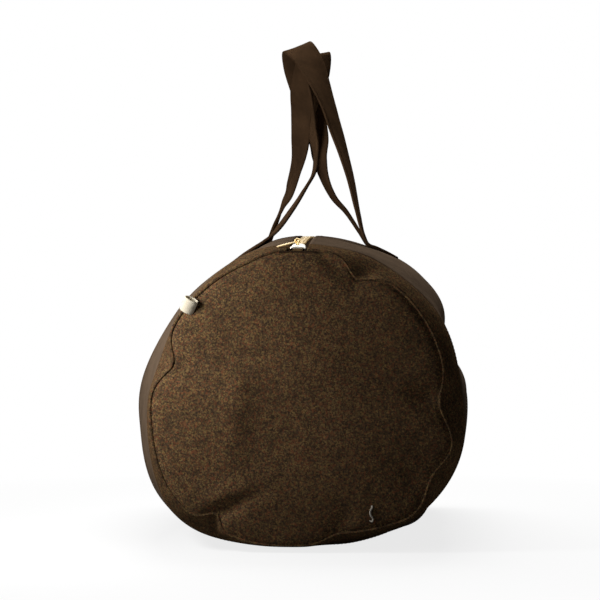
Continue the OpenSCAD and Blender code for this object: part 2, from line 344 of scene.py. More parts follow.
def tone(red: int, green: int, blue: int) -> tuple[float, float, float, float]:
    """Linear colour of a display tone, by the display's curve: a line in the darkest tones, then a power.

    Args:
        red: Red, from 0 to 255.
        green: Green, from 0 to 255.
        blue: Blue, from 0 to 255.

    Returns:
        Red, green, blue and an alpha of 1.
    """
    c = np.array([red, green, blue]) / 255
    linear = np.where(c <= 0.04045, c / 12.92, ((c + 0.055) / 1.055) ** 2.4)
    return (*linear.tolist(), 1.0)


class Tree:
    """Short way to add and join the nodes of one shader tree."""

    def __init__(self, tree: bpy.types.NodeTree) -> None:
        """Work on a node tree."""
        self.tree = tree

    def feed(self, node: bpy.types.Node, inputs: dict) -> None:
        """Set each named or numbered input of a node to a value, or link it to a socket.

        Args:
            node: The node.
            inputs: Value or socket for each named or numbered input.
        """
        for key, value in inputs.items():
            if isinstance(value, Socket):
                self.tree.links.new(value, node.inputs[key])
            else:
                node.inputs[key].default_value = value

    def add(self, kind: str, inputs: dict | None = None, **settings: object) -> bpy.types.Node:
        """Add a node.

        Args:
            kind: Type of the node, without the ShaderNode prefix.
            inputs: Value or socket for each named or numbered input.
            settings: Properties of the node.

        Returns:
            The node.
        """
        node = self.tree.nodes.new("ShaderNode" + kind)
        for key, value in settings.items():
            setattr(node, key, value)
        self.feed(node, inputs or {})
        return node

    def math(self, operation: str, *values: object) -> Socket:
        """Result of a math node on up to three values or sockets."""
        return self.add("Math", dict(enumerate(values)), operation=operation).outputs[0]

    def mix(self, factor: object, first: object, second: object) -> Socket:
        """Colour between two colours, the second where the factor is 1.

        Args:
            factor: Share of the second colour.
            first: Colour, or its socket, where the factor is 0.
            second: Colour, or its socket, where the factor is 1.

        Returns:
            Socket of the mixed colour.
        """
        node = self.add("Mix", data_type="RGBA")
        factor_in, first_in, second_in = [k for k, socket in enumerate(node.inputs) if socket.enabled]
        self.feed(node, {factor_in: factor, first_in: first, second_in: second})
        return next(socket for socket in node.outputs if socket.enabled)

    def noise(self, place: Socket, scale: object, detail: float, roughness: float = 0.5) -> Sockets:
        """Outputs of a noise texture."""
        levels = {"Vector": place, "Scale": scale, "Detail": detail, "Roughness": roughness}
        return self.add("TexNoise", levels).outputs

    def bump(self, height: Socket, depth: float) -> Socket:
        """Normal of a relief whose height of 1 is a depth in millimetres."""
        return self.add("Bump", {"Height": height, "Distance": depth * MM, "Strength": 1.0}).outputs[0]

    def ramp(self, value: Socket, low: float, high: float) -> Socket:
        """Value stretched so that low gives 0 and high gives 1, and held between them."""
        levels = {"Value": value, "From Min": low, "From Max": high}
        return self.add("MapRange", levels, clamp=True).outputs["Result"]


class Effect:
    """Shared material effect: a node group made once, the first time it is asked for.

    Attributes:
        name: Name of the node group.
        takes: Kind of socket of each input.
        gives: Kind of socket of each output.
    """

    name: str = ""
    takes: dict[str, str] = {}
    gives: dict[str, str] = {}

    def group(self) -> bpy.types.NodeTree:
        """The effect's node group.

        Returns:
            The group, which later calls share.
        """
        made = bpy.data.node_groups.get(self.name)
        if made:
            return made
        made = bpy.data.node_groups.new(self.name, "ShaderNodeTree")
        for label, kind in self.takes.items():
            made.interface.new_socket(label, in_out="INPUT", socket_type="NodeSocket" + kind)
        for label, kind in self.gives.items():
            made.interface.new_socket(label, in_out="OUTPUT", socket_type="NodeSocket" + kind)
        start = made.nodes.new("NodeGroupInput")
        end = made.nodes.new("NodeGroupOutput")
        for label, socket in self.wire(Tree(made), start.outputs).items():
            made.links.new(socket, end.inputs[label])
        return made

    def wire(self, tree: Tree, given: Sockets) -> dict[str, Socket]:
        """Nodes of the group, and the socket for each of its outputs."""
        raise NotImplementedError

    def use(self, tree: Tree, **inputs: object) -> Sockets:
        """Put the effect in a material and return its outputs."""
        return tree.add("Group", inputs, node_tree=self.group()).outputs


class WoolFlecks(Effect):
    """Flecks of dyed wool: cells of a few colours among darker mottled fibres."""

    name = "WoolFlecks"
    tones = ("Ground", "Dark", "Warm", "Rust")
    takes = {"Place": "Vector", "Grain": "Float", **dict.fromkeys(tones, "Color")}
    gives = {"Color": "Color", "Height": "Float"}

    def wire(self, tree: Tree, given: Sockets) -> dict[str, Socket]:
        """Fine noise from dark to ground, clouds of dyed yarn over it, a few bright cells and broad shade.

        Args:
            tree: Tree of the group.
            given: Sockets of the group's inputs.

        Returns:
            Socket for each of the group's outputs.
        """
        place = given["Place"]
        fibre = tree.noise(place, given["Grain"], 3.0, 0.7)[0]
        yarns = tree.add("SeparateColor", {"Color": tree.noise(place, 520.0, 2.0, 0.6)["Color"]}).outputs
        cells = tree.add("TexVoronoi", {"Vector": place, "Scale": given["Grain"], "Randomness": 1.0})
        picks = tree.add("SeparateColor", {"Color": cells.outputs["Color"]}).outputs
        # Each layer has its source, the range that fades it in, its share and its colour.
        layers = (
            (yarns[0], 0.48, 0.64, 0.7, "Warm"),
            (yarns[1], 0.5, 0.64, 0.75, "Rust"),
            (yarns[2], 0.48, 0.66, 0.7, "Dark"),
            (picks[0], 0.84, 0.94, 0.75, "Warm"),
            (tree.noise(place, 110.0, 4.0, 0.65)[0], 0.38, 0.66, 0.45, "Dark"),
        )
        colour = tree.mix(tree.ramp(fibre, 0.34, 0.62), given["Dark"], given["Ground"])
        for source, low, high, share, over in layers:
            colour = tree.mix(tree.math("MULTIPLY", tree.ramp(source, low, high), share), colour, given[over])
        return {"Color": colour, "Height": tree.math("ADD", fibre, tree.math("MULTIPLY", picks[2], 0.3))}


class ThreadWeave(Effect):
    """Crossing threads of a cloth, on its flat position in metres."""

    name = "ThreadWeave"
    takes = {"Place": "Vector", "Pitch": "Float", "Slant": "Float"}
    gives = {"Height": "Float", "Thread": "Float"}

    def wire(self, tree: Tree, given: Sockets) -> dict[str, Socket]:
        """Sine of the run along the cloth and a slanted share of the run across, with uneven yarn over it.

        Args:
            tree: Tree of the group.
            given: Sockets of the group's inputs.

        Returns:
            Socket for each of the group's outputs.
        """
        across, run, _ = tree.add("SeparateXYZ", {"Vector": given["Place"]}).outputs
        turns = tree.math("DIVIDE", 2 * math.pi, given["Pitch"])
        lean = tree.math("MULTIPLY", across, given["Slant"])
        rib = tree.math("SINE", tree.math("MULTIPLY", tree.math("ADD", run, lean), turns))
        warp = tree.math("SINE", tree.math("MULTIPLY", across, tree.math("MULTIPLY", turns, 1.7)))
        yarn = tree.noise(given["Place"], 900.0, 2.0)[0]
        both = tree.math("MULTIPLY_ADD", warp, 0.3, rib)
        height = tree.math("MULTIPLY_ADD", both, 0.35, yarn)
        return {"Height": height, "Thread": tree.ramp(height, -0.1, 1.1)}


class SoftMottle(Effect):
    """Broad wear and fading: slow noise between two tones."""

    name = "SoftMottle"
    takes = {"Place": "Vector", "Scale": "Float", "Light": "Color", "Dark": "Color"}
    gives = {"Color": "Color", "Amount": "Float"}

    def wire(self, tree: Tree, given: Sockets) -> dict[str, Socket]:
        """Detailed noise, stretched to its full range, between the dark and the light tone."""
        amount = tree.ramp(tree.noise(given["Place"], given["Scale"], 4.0, 0.6)[0], 0.3, 0.7)
        return {"Color": tree.mix(amount, given["Dark"], given["Light"]), "Amount": amount}


@dataclass(frozen=True)
class Finish:
    """Base of the finishes: a material with one principled shader.

    Attributes:
        name: Name of the material.
    """

    name: str

    def start(self) -> tuple[Material, Tree, bpy.types.Node]:
        """Empty material, its tree and its shader.

        Returns:
            The material, its tree and its shader.
        """
        material = bpy.data.materials.new(self.name)
        material.use_nodes = True
        return material, Tree(material.node_tree), material.node_tree.nodes["Principled BSDF"]


@dataclass(frozen=True)
class Tweed(Finish):
    """Flecked brown wool.

    Attributes:
        ground: Main colour of the wool.
        dark: Colour of the dark flecks.
        warm: Colour of the warm flecks.
        rust: Colour of the rust flecks.
        grain: Fineness of the flecks.
        depth: Strength of the relief.
    """

    ground: tuple[float, ...] = tone(101, 80, 60)
    dark: tuple[float, ...] = tone(43, 36, 29)
    warm: tuple[float, ...] = tone(139, 113, 71)
    rust: tuple[float, ...] = tone(128, 76, 51)
    grain: float = 950.0
    depth: float = 0.3

    def material(self) -> Material:
        """Wool flecks on the bag's own position, with a felted relief.

        Returns:
            The material.
        """
        material, tree, shader = self.start()
        place = tree.add("TexCoord").outputs["Object"]
        colours = {"Ground": self.ground, "Dark": self.dark, "Warm": self.warm, "Rust": self.rust}
        wool = WoolFlecks().use(tree, Place=place, Grain=self.grain, **colours)
        tree.feed(shader, {"Base Color": wool["Color"], "Normal": tree.bump(wool["Height"], self.depth)})
        tree.feed(shader, {"Roughness": 0.95, "Specular IOR Level": 0.0})
        return material


@dataclass(frozen=True)
class Cloth(Finish):
    """Woven cloth with thread relief on its flat position.

    Attributes:
        light: Colour where the cloth is worn pale.
        dark: Colour of its other clouds and between the threads.
        pitch: Distance from thread to thread.
        slant: Slant of the threads.
        depth: Strength of the relief.
        rough: Roughness.
    """

    light: tuple[float, ...]
    dark: tuple[float, ...]
    pitch: float = 0.9
    slant: float = 1.0
    depth: float = 0.12
    rough: float = 0.9

    def material(self) -> Material:
        """Worn tones on the bag's position, darker between the threads.

        Returns:
            The material.
        """
        material, tree, shader = self.start()
        where = tree.add("TexCoord").outputs
        worn = SoftMottle().use(tree, Place=where["Object"], Scale=45.0, Light=self.light, Dark=self.dark)
        weave = ThreadWeave().use(tree, Place=where["UV"], Pitch=self.pitch * MM, Slant=self.slant)
        gap = tree.math("MULTIPLY", tree.math("SUBTRACT", 1.0, weave["Thread"]), 0.55)
        colour = tree.mix(gap, worn["Color"], self.dark)
        tree.feed(shader, {"Base Color": colour, "Normal": tree.bump(weave["Height"], self.depth)})
        tree.feed(shader, {"Roughness": self.rough, "Specular IOR Level": 0.0})
        return material


@dataclass(frozen=True)
class Metal(Finish):
    """Plated metal with tarnish in it.

    Attributes:
        bright: Colour of the clean metal.
        tarnish: Colour of the tarnish.
        rough: Roughness of the clean metal.
        dulling: Roughness that the tarnish adds.
    """

    bright: tuple[float, ...]
    tarnish: tuple[float, ...]
    rough: float = 0.28
    dulling: float = 0.12

    def material(self) -> Material:
        """Bright and tarnished tones in small clouds, rougher where tarnished.

        Returns:
            The material.
        """
        material, tree, shader = self.start()
        place = tree.add("TexCoord").outputs["Object"]
        worn = SoftMottle().use(tree, Place=place, Scale=420.0, Light=self.bright, Dark=self.tarnish)
        rough = tree.math("MULTIPLY_ADD", worn["Amount"], -self.dulling, self.rough + self.dulling)
        tree.feed(shader, {"Base Color": worn["Color"], "Roughness": rough, "Metallic": 1.0})
        return material


@dataclass(frozen=True)
class Swell:
    """Local swelling, or dent where its rise is negative: a bell over the angle round the bag.

    Attributes:
        angle: Angle of its middle.
        rise: Rise at its middle.
        spread: Spread in degrees.
    """

    angle: float
    rise: float
    spread: float

    def at(self, angle: Array) -> Array:
        """Rise in millimetres at each angle."""
        return self.rise * np.exp(-((turn_from(angle, self.angle) / self.spread) ** 2))


def swells(*rows: tuple[float, float, float]) -> tuple[Swell, ...]:
    """Swells from rows of angle, rise and spread."""
    return tuple(Swell(*row) for row in rows)


@dataclass(frozen=True)
class Fold:
    """Soft fold of an end panel: a bell across a line, which loses a share of its rise along it.

    Attributes:
        start: Place across and up where the line starts, from the panel's middle.
        end: Place where the line ends.
        rise: Rise at the start.
        spread: Spread beside the line.
        fade: Share of the rise that is lost at the end.
    """

    start: tuple[float, float]
    end: tuple[float, float]
    rise: float
    spread: float
    fade: float = 0.9

    def at(self, x: Array, z: Array) -> Array:
        """Rise towards the outside at points of the panel, measured from its middle.

        Args:
            x: Places across the panel.
            z: Places up the panel.

        Returns:
            Rises in millimetres.
        """
        run = np.subtract(self.end, self.start)
        length = float(np.hypot(*run))
        t = ((x - self.start[0]) * run[0] + (z - self.start[1]) * run[1]) / length**2
        off = ((x - self.start[0]) * run[1] - (z - self.start[1]) * run[0]) / length
        past = np.maximum(np.maximum(-t, t - 1.0), 0.0) * length
        return self.rise * (1.0 - self.fade * smooth(t)) * np.exp(-(off**2 + past**2) / self.spread**2)


@dataclass(frozen=True)
class BagForm:
    """Sagging outer form of the bag, as a radius round its axis for an angle and a place along it.

    Attributes:
        half: Half the length of the bag.
        belly: Radius at the middle.
        end_r: Radius of the top's arc at the ends.
        shoulder: Radius at the inner edges of the bands.
        axis: Height of the axis.
        seam_y: Distance of the end seams from the middle.
        band_y: Distance of the inner edges of the bands from the middle.
        gap: Half the width left open for the zip.
        seam_r: Radius of the end seams.
        crown_in: Angle from the top within which the skin follows the zip's arc.
        crown_out: Angle from the top beyond which it no longer does.
        crown_slack: Angle by which the left side leaves the arc sooner.
        ground: Softness of the curve onto the floor.
        end_lift: Height of the ends off the floor.
        lift_from: Distance from the middle at which the lift starts.
        belly_share: Share of the sags that reaches the far end.
        fall: Power with which the radius falls from the belly to the bands.
        tuck: Depth of the groove between the twill and a band.
        tuck_run: Spread of the groove.
        first_guess: Radius with which the angle of a place is first guessed.
        sags: Swells of the belly.
        shoulders: Swells at the inner edges of the bands.
        near_seam: Swells of the near end seam.
        far_seam: Swells of the far end seam.
    """

    half: float = 240.0
    belly: float = 153.0
    end_r: float = 131.0
    shoulder: float = 138.0
    axis: float = 136.0
    seam_y: float = 236.0
    band_y: float = 200.0
    gap: float = 8.5
    seam_r: float = 131.3
    crown_in: float = 10.0
    crown_out: float = 28.0
    crown_slack: float = 5.0
    ground: float = 1.5
    end_lift: float = 4.5
    lift_from: float = 130.0
    belly_share: float = 0.55
    fall: float = 2.4
    tuck: float = 1.2
    tuck_run: float = 2.4
    first_guess: float = 150.0
    sags: tuple[Swell, ...] = swells(
        (185, 11.7, 22), (218, 19.4, 20), (292, -6.9, 14), (310, 10.6, 9), (18, -20.3, 10), (46, 4.1, 14),
        (122, -12.1, 20),
    )
    shoulders: tuple[Swell, ...] = swells((30, 6.4, 30), (222, 15.4, 26), (152, -9, 26), (332, 16.7, 26))
    near_seam: tuple[Swell, ...] = swells(
        (165, -15, 8.5), (235, -13, 4.2), (286, -7.5, 9), (358, -7, 9), (64, -14, 8.5), (316, 14, 12),
        (342, 12, 9.5), (218, 6, 18),
    )
    far_seam: tuple[Swell, ...] = swells((205, -6, 9), (330, 6, 14), (18, -6, 8), (290, -4, 9))

    @property
    def arc_r(self) -> float:
        """Radius of the arc along the top, through the belly and both ends."""
        drop = self.belly - self.end_r
        return (self.half**2 + drop**2) / (2 * drop)

    @property
    def arc_z(self) -> float:
        """Height of the middle of that arc."""
        return self.axis + self.belly - self.arc_r

    def arc(self, y: Array) -> Array:
        """Radius of the bag along the top, on the arc that the zip follows."""
        return np.sqrt(self.arc_r**2 - np.square(y)) + self.arc_z - self.axis

    def seam(self, angle: Array, end: End) -> Array:
        """Radius of an end seam: a circle with two slow waves, and its swells and dents.

        Args:
            angle: Angles round the bag.
            end: End of the bag.

        Returns:
            Radii from the axis.
        """
        rises = self.near_seam if end is End.NEAR else self.far_seam
        lean = -2.5 * np.sin(np.radians(angle)) + 2.0 * np.sin(np.radians(2 * angle))
        return self.seam_r + lean + sum(s.at(angle) for s in rises)

    def radius(self, angle: Array, y: Array) -> Array:
        """Radius of the skin.

        Along each half the radius falls from the sagging belly to the band's edge with a power of the
        distance from the middle, and from there to the end seam along a parabola. Two small waves run round
        it, and along the top it is drawn to the zip's arc.

        Args:
            angle: Angles round the bag.
            y: Places along the bag.

        Returns:
            Radii from the axis.
        """
        near = np.less(y, 0.0)
        share = self.belly_share
        toward_near = share + (1 - share) * smooth((0.6 * self.half - y) / (1.2 * self.half))
        belly = self.belly + sum(s.at(angle) for s in self.sags) * toward_near
        edge = self.shoulder + sum(s.at(angle) for s in self.shoulders) * np.where(near, 1.0, 0.5)
        seam = np.where(near, self.seam(angle, End.NEAR), self.seam(angle, End.FAR))
        along_half = np.minimum(np.abs(y) / self.band_y, 1.0)
        past = np.clip((np.abs(y) - self.band_y) / (self.seam_y - self.band_y), 0.0, None)
        r = belly - (belly - edge) * along_half**self.fall - (edge - seam) * (0.35 * past + 0.65 * past**2)
        turn = np.radians(angle)
        soft = 1.0 - past**2
        r = r + (0.9 * np.sin(5 * turn + y / 37) + 0.6 * np.sin(9 * turn - y / 23 + 1)) * soft
        off_top = np.abs(turn_from(angle, 90.0)) + self.crown_slack * (turn_from(angle, 90.0) > 0)
        crown = smooth((self.crown_out - off_top) / (self.crown_out - self.crown_in))
        tuck = self.tuck * np.exp(-(((np.abs(y) - self.band_y) / self.tuck_run) ** 2))
        return r * (1 - crown) + self.arc(y) * crown - tuck

    def settle(self, z: Array, y: Array) -> Array:
        """Heights kept above the floor.

        The result is the upper branch of a hyperbola between the height and a level, which is the floor along
        the middle of the bag and rises a little towards its ends.

        Args:
            z: Heights of the round form.
            y: Places along the bag.

        Returns:
            Heights of the settled form.
        """
        level = self.end_lift * smooth((np.abs(y) - self.lift_from) / (self.band_y - self.lift_from + 30.0))
        return level + 0.5 * (z - level + np.sqrt((z - level) ** 2 + 4 * self.ground**2))

    def skin(self, angle: Array, y: Array, inside: float = 0.0) -> Array:
        """Points of the form: its radius laid off from the axis at each angle, then settled on the floor.

        Args:
            angle: Angles round the bag.
            y: Places along the bag.
            inside: Distance of the points inside the skin.

        Returns:
            Points, with one more dimension than the angles.
        """
        angle, y = np.broadcast_arrays(angle, y)
        r = self.radius(angle, y) - inside
        turn = np.radians(angle)
        z = self.settle(self.axis + (r + inside) * np.sin(turn), y) - inside * np.sin(turn)
        return np.stack([r * np.cos(turn), y, z], -1)

    def edge_angle(self, y: Array, x: float) -> Array:
        """Angle from the top at which the skin is a distance beside the middle."""
        return np.degrees(np.arcsin(x / self.arc(y)))

    def over(self, x: float, y: float, lift: float) -> Array:
        """Point on the skin's upper side at a place seen from above, found by three rounds of its angle.

        Args:
            x: Place across the bag.
            y: Place along the bag.
            lift: Distance off the skin.

        Returns:
            The lifted point.
        """
        angle = math.degrees(math.acos(x / self.first_guess))
        for _ in range(3):
            angle = math.degrees(math.acos(x / float(self.radius(np.array(angle), np.array(y)))))
        return self.skin(np.array(angle), np.array(y), -lift)


FORM = BagForm()


def put(piece: Piece, body: Body, slot: Slot, *stands_for: str) -> Piece:
    """Fix a piece to a body, hide the solids it stands for and report it.

    Args:
        piece: The finished piece.
        body: Body that carries it.
        slot: Material slot of the record; not used.
        stands_for: Nodes of the part that it replaces.

    Returns:
        The piece.
    """
    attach(piece, body.value)
    return note(piece, slot, *stands_for)


def note(piece: Piece, slot: Slot, *stands_for: str) -> Piece:
    """Hide the solids that a piece stands for and report it.

    Args:
        piece: The finished piece.
        slot: Material slot of the record; not used.
        stands_for: Nodes of the part that it replaces.

    Returns:
        The piece.
    """
    if stands_for:
        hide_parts(*stands_for)
    LOG.info("%s: %d faces", piece.name, len(piece.data.polygons))
    return piece


def cloth_uv(angle: Array, y: Array) -> Array:
    """Flat position of a piece of the barrel, in metres: the run round the belly and the place along it."""
    return np.stack(np.broadcast_arrays(np.radians(angle) * FORM.belly * MM, y * MM), -1)


@dataclass
class BodyPanel:
    """Twill side of the bag, from the seam under it to the edge beside the zip.

    Attributes:
        side: Side of the bag.
        thickness: Thickness of the cloth.
        rows: Points along the bag.
        columns: Points round the bag.
        fold_x: Place across the bag where the bend to the mouth starts; not used.
        fold_z: Height where the bend starts; not used.
        fold_run: Length of the bend; not used.
        fold_lie: Direction of the bend, inward and up; not used.
    """

    side: Side
    thickness: float = 2.4
    rows: int = 161
    columns: int = 171
    fold_x: float = 58.0
    fold_z: float = 276.0
    fold_run: float = 20.0
    fold_lie: tuple[float, float] = (0.944, 0.33)

    def build(self, material: Material) -> Piece:
        """Grid of the form over its length and its angles.

        Args:
            material: Finish of the piece.

        Returns:
            The finished piece.
        """
        y = np.linspace(-FORM.band_y, FORM.band_y, self.rows)[:, None]
        t = np.linspace(0.0, 1.0, self.columns)[None]
        edge = FORM.edge_angle(y, FORM.gap)
        right = -90.0 + t * (180.0 - edge)
        angle = right if self.side is Side.RIGHT else (90.0 + edge) + t * (180.0 - edge)
        word = self.side.word
        piece = sheet_shell("body_" + word, FORM.skin(angle, y), cloth_uv(angle, y), self.thickness, material)
        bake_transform(piece)
        return note(piece, Slot.CANVAS, "body_panel_" + word, "mouth_panel_" + word)


@dataclass
class EndPiece:
    """One tweed end: its band, open at the top for the zip, and its round panel.

    Attributes:
        end: End of the bag.
        thickness: Thickness of the cloth.
        dome: Rise of the panel's middle.
        pillow: Fullness that the panel keeps almost to its edge.
        roll: Radius of the band's roll into the seam.
        roll_turn: Turn of the roll in degrees.
        valley: Distance of the panel's edge inside the band.
        sunk: Depth of the panel's edge in the seam.
        sunk_run: Distance over which the edge sinks.
        rows: Points along the band.
        roll_rows: Points on the roll.
        columns: Points round the band.
        side: Points along each side of the panel's grid.
        folds: Folds of the panel.
    """

    end: End
    thickness: float = 2.4
    dome: float = 11.0
    pillow: float = 2.0
    roll: float = 1.5
    roll_turn: float = 150.0
    valley: float = 2.4
    sunk: float = 0.9
    sunk_run: float = 3.5
    rows: int = 31
    roll_rows: int = 9
    columns: int = 361
    side: int = 161
    folds: tuple[Fold, ...] = ()

    def build_band(self, material: Material) -> Piece:
        """Grid of the form from the twill to the end seam, where it rolls over an arc into the seam.

        Args:
            material: Finish of the piece.

        Returns:
            The finished piece.
        """
        flat = np.linspace(FORM.band_y, FORM.seam_y - self.roll, self.rows)
        bend = np.radians(np.linspace(0.0, self.roll_turn, self.roll_rows))[1:]
        y = np.concatenate([flat, np.full_like(bend, flat[-1])])[:, None]
        inside = np.concatenate([0 * flat, self.roll * (1 - np.cos(bend))])[:, None]
        ahead = np.concatenate([0 * flat, self.roll * np.sin(bend)])[:, None]
        edge = FORM.edge_angle(y, FORM.gap)
        angle = 90.0 + edge + np.linspace(0.0, 1.0, self.columns)[None] * (360.0 - 2 * edge)
        grid = FORM.skin(angle, self.end.value * y, inside)
        grid[..., 1] += self.end.value * ahead
        uv = cloth_uv(angle, y + inside + ahead)
        if self.end is End.NEAR:
            grid, uv = grid[::-1], uv[::-1]
        piece = sheet_shell(self.end.word + "_band", grid, uv, self.thickness, material)
        return put(piece, Body.BAG, Slot.TWEED, self.end.word + "_end_band")

    def disc(self, inside: float) -> Array:
        """Points of the panel over a square grid whose lines stand closer towards its edges.

        The square is turned into a disc by scaling each side by the root of one minus half the square of the
        other. The disc is stretched to the seam's outline, more so towards its edge, domed outward, waved and
        sunk into the seam round its edge.

        Args:
            inside: Distance inside the panel's outer face.

        Returns:
            Grid of points whose rows crossed with its columns look outward.
        """
        even = np.linspace(-1.0, 1.0, self.side)[:, None]
        u = 1.25 * even - 0.25 * even**3
        v = u.T
        x = u * np.sqrt(1 - v**2 / 2)
        z = v * np.sqrt(1 - u**2 / 2)
        rho = np.minimum(np.hypot(x, z), 1.0)
        angle = np.degrees(np.arctan2(z, x))
        rim_y = np.full_like(angle, self.end.value * (FORM.seam_y - self.roll))
        rim = FORM.radius(angle, rim_y) - self.valley
        r = rho * (FORM.seam_r + (rim - FORM.seam_r) * rho**3 - inside * rho**8)
        turn = np.radians(angle)
        px = r * np.cos(turn)
        pz = r * np.sin(turn)
        sunk = self.sunk * np.exp(-(((1 - rho) * FORM.seam_r / self.sunk_run) ** 2))
        out = self.dome * (1 - rho**2) + self.pillow * (1 - rho**10) - sunk
        out = out + sum(f.at(px, pz) for f in self.folds) * (1 - rho**12)
        out = out + (0.8 * np.sin(px / 21 + pz / 40) + 0.6 * np.sin(pz / 17 - px / 33)) * (1 - rho**4)
        height = FORM.settle(FORM.axis + pz, np.full_like(pz, FORM.seam_y))
        grid = np.stack([px, self.end.value * (FORM.seam_y + out - inside), height], -1)
        return grid if self.end is End.NEAR else grid.transpose(1, 0, 2)

    def build_panel(self, material: Material) -> Piece:
        """Round panel of the end.

        Args:
            material: Finish of the piece.

        Returns:
            The finished piece.
        """
        grid = self.disc(0.0)
        piece = sheet_shell(self.end.word + "_panel", grid, grid[..., ::2] * MM, self.thickness, material)
        return put(piece, Body.BAG, Slot.TWEED, self.end.word + "_end_panel")

    def build_lining(self, material: Material, inside: float, thickness: float) -> Piece:
        """Lining behind the panel.

        Args:
            material: Finish of the piece.
            inside: Distance inside the panel's outer face.
            thickness: Thickness of the lining.

        Returns:
            The finished piece.
        """
        grid = self.disc(inside)
        piece = sheet_shell(self.end.word + "_end_lining", grid, grid[..., ::2] * MM, thickness, material)
        return put(piece, Body.BAG, Slot.LINING, "lining_" + self.end.word + "_end")


NEAR_FOLDS = (
    Fold((-80, -107), (-32, -82), -9.0, 7.0),
    Fold((-66, -88), (-28, -68), 3.5, 11.0),
    Fold((-52, 8), (-58, -50), 2.4, 13.0, 0.3),
    Fold((26, 127), (62, 96), -6.0, 9.0),
    Fold((132, -2), (84, 8), -7.5, 10.0),
    Fold((-112, 29), (-66, 18), -5.0, 10.0),
    Fold((122, -80), (78, -54), -4.0, 11.0),
    Fold((36, -128), (46, -88), -4.0, 9.0),
)


@dataclass
class Lining:
    """Plain lining of the barrel, with the bindings and the tape over its seams.

    Attributes:
        inside: Distance of the lining inside the skin.
        thickness: Thickness of the lining and the tape.
        mouth: Half the width left open at the mouth.
        short: Distance by which the lining ends short of the seams.
        binding_short: Distance of a binding from its seam.
        binding_in: Distance of a binding inside the skin.
        binding_half: Half of a binding's width and half of its thickness.
        tape_short: Distance by which the tape ends short of the seams.
        tape_in: Distance of the tape inside the skin.
        tape_width: Width of the tape.
        rows: Points along the lining.
        columns: Points round the lining.
    """

    inside: float = 4.2
    thickness: float = 0.8
    mouth: float = 46.0
    short: float = 4.5
    binding_short: float = 5.0
    binding_in: float = 7.0
    binding_half: tuple[float, float] = (2.2, 0.8)
    tape_short: float = 6.0
    tape_in: float = 3.3
    tape_width: float = 12.0
    rows: int = 61
    columns: int = 141

    def build(self, material: Material) -> Piece:
        """Barrel inside the skin, open between the fold lines of the mouth.

        Args:
            material: Finish of the piece.

        Returns:
            The finished piece.
        """
        y = np.linspace(self.short - FORM.seam_y, FORM.seam_y - self.short, self.rows)[:, None]
        edge = FORM.edge_angle(y, self.mouth)
        angle = 90.0 + edge + np.linspace(0.0, 1.0, self.columns)[None] * (360.0 - 2 * edge)
        grid = FORM.skin(angle, y, self.inside)
        piece = sheet_shell("barrel_lining", grid, cloth_uv(angle, y), self.thickness, material)
        return put(piece, Body.BAG, Slot.LINING, "lining_body")

    def build_binding(self, end: End, material: Material) -> Piece:
        """Binding over the raw edges of an end seam: a flat wire round the inside of the seam.

        Args:
            end: End of the bag.
            material: Finish of the piece.

        Returns:
            The finished piece.
        """
        angle = np.linspace(0.0, 360.0, 240, endpoint=False)
        y = np.full_like(angle, end.value * (FORM.seam_y - self.binding_short))
        path = FORM.skin(angle, y, self.binding_in)
        out = np.stack([np.cos(np.radians(angle)), 0 * angle, np.sin(np.radians(angle))], -1)
        length = np.broadcast_to([0.0, 1.0, 0.0], out.shape)
        shape = round_wire(1.0) * self.binding_half
        piece = swept(end.word + "_binding", path, length, out, shape, material, closed=True)
        return put(piece, Body.BAG, Slot.STRAP, end.word + "_seam_binding")

    def build_tape(self, material: Material) -> Piece:
        """Tape along the seam under the bag, between the twill and the lining.

        Args:
            material: Finish of the piece.

        Returns:
            The finished piece.
        """
        y = np.linspace(self.tape_short - FORM.seam_y, FORM.seam_y - self.tape_short, self.rows - 1)
        path = FORM.skin(np.full_like(y, 270.0), y, self.tape_in)
        across, up = side_frame(path, np.array([0.0, 0.0, 1.0]))
        outline = rounded_strip(self.tape_width, self.thickness, 5)
        piece = swept("bottom_tape", path, across, up, outline, material)
        return put(piece, Body.BAG, Slot.STRAP, "bottom_seam_tape")


@dataclass
class Zip:
    """Zip along the top: its tapes, teeth, stops, ring and tab."""

    def dress(self, tape: Material, brass: Material, dull: Material) -> None:
        """Give the solids of the zip their finishes.

        Args:
            tape: Finish of the tapes.
            brass: Finish of the teeth, the ring and the tab.
            dull: Finish of the stops.
        """
        looks = {
            "zip_tape": (tape, Slot.ZIP_TAPE),
            "zip_stop": (dull, Slot.BRASS),
            "zip_teeth": (brass, Slot.BRASS),
            "pull_": (brass, Slot.BRASS),
        }
        for name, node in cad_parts.items():
            for start, look in looks.items():
                if name.startswith(start):
                    self.finish(node, *look)

    def finish(self, node: Piece, material: Material, slot: Slot) -> None:
        """Set the only material of a solid.

        Args:
            node: Solid of the part.
            material: Finish of the solid.
            slot: Material slot of the record; not used.
        """
        node.data.materials.clear()
        node.data.materials.append(material)
        LOG.info("%s: dressed", node.name)


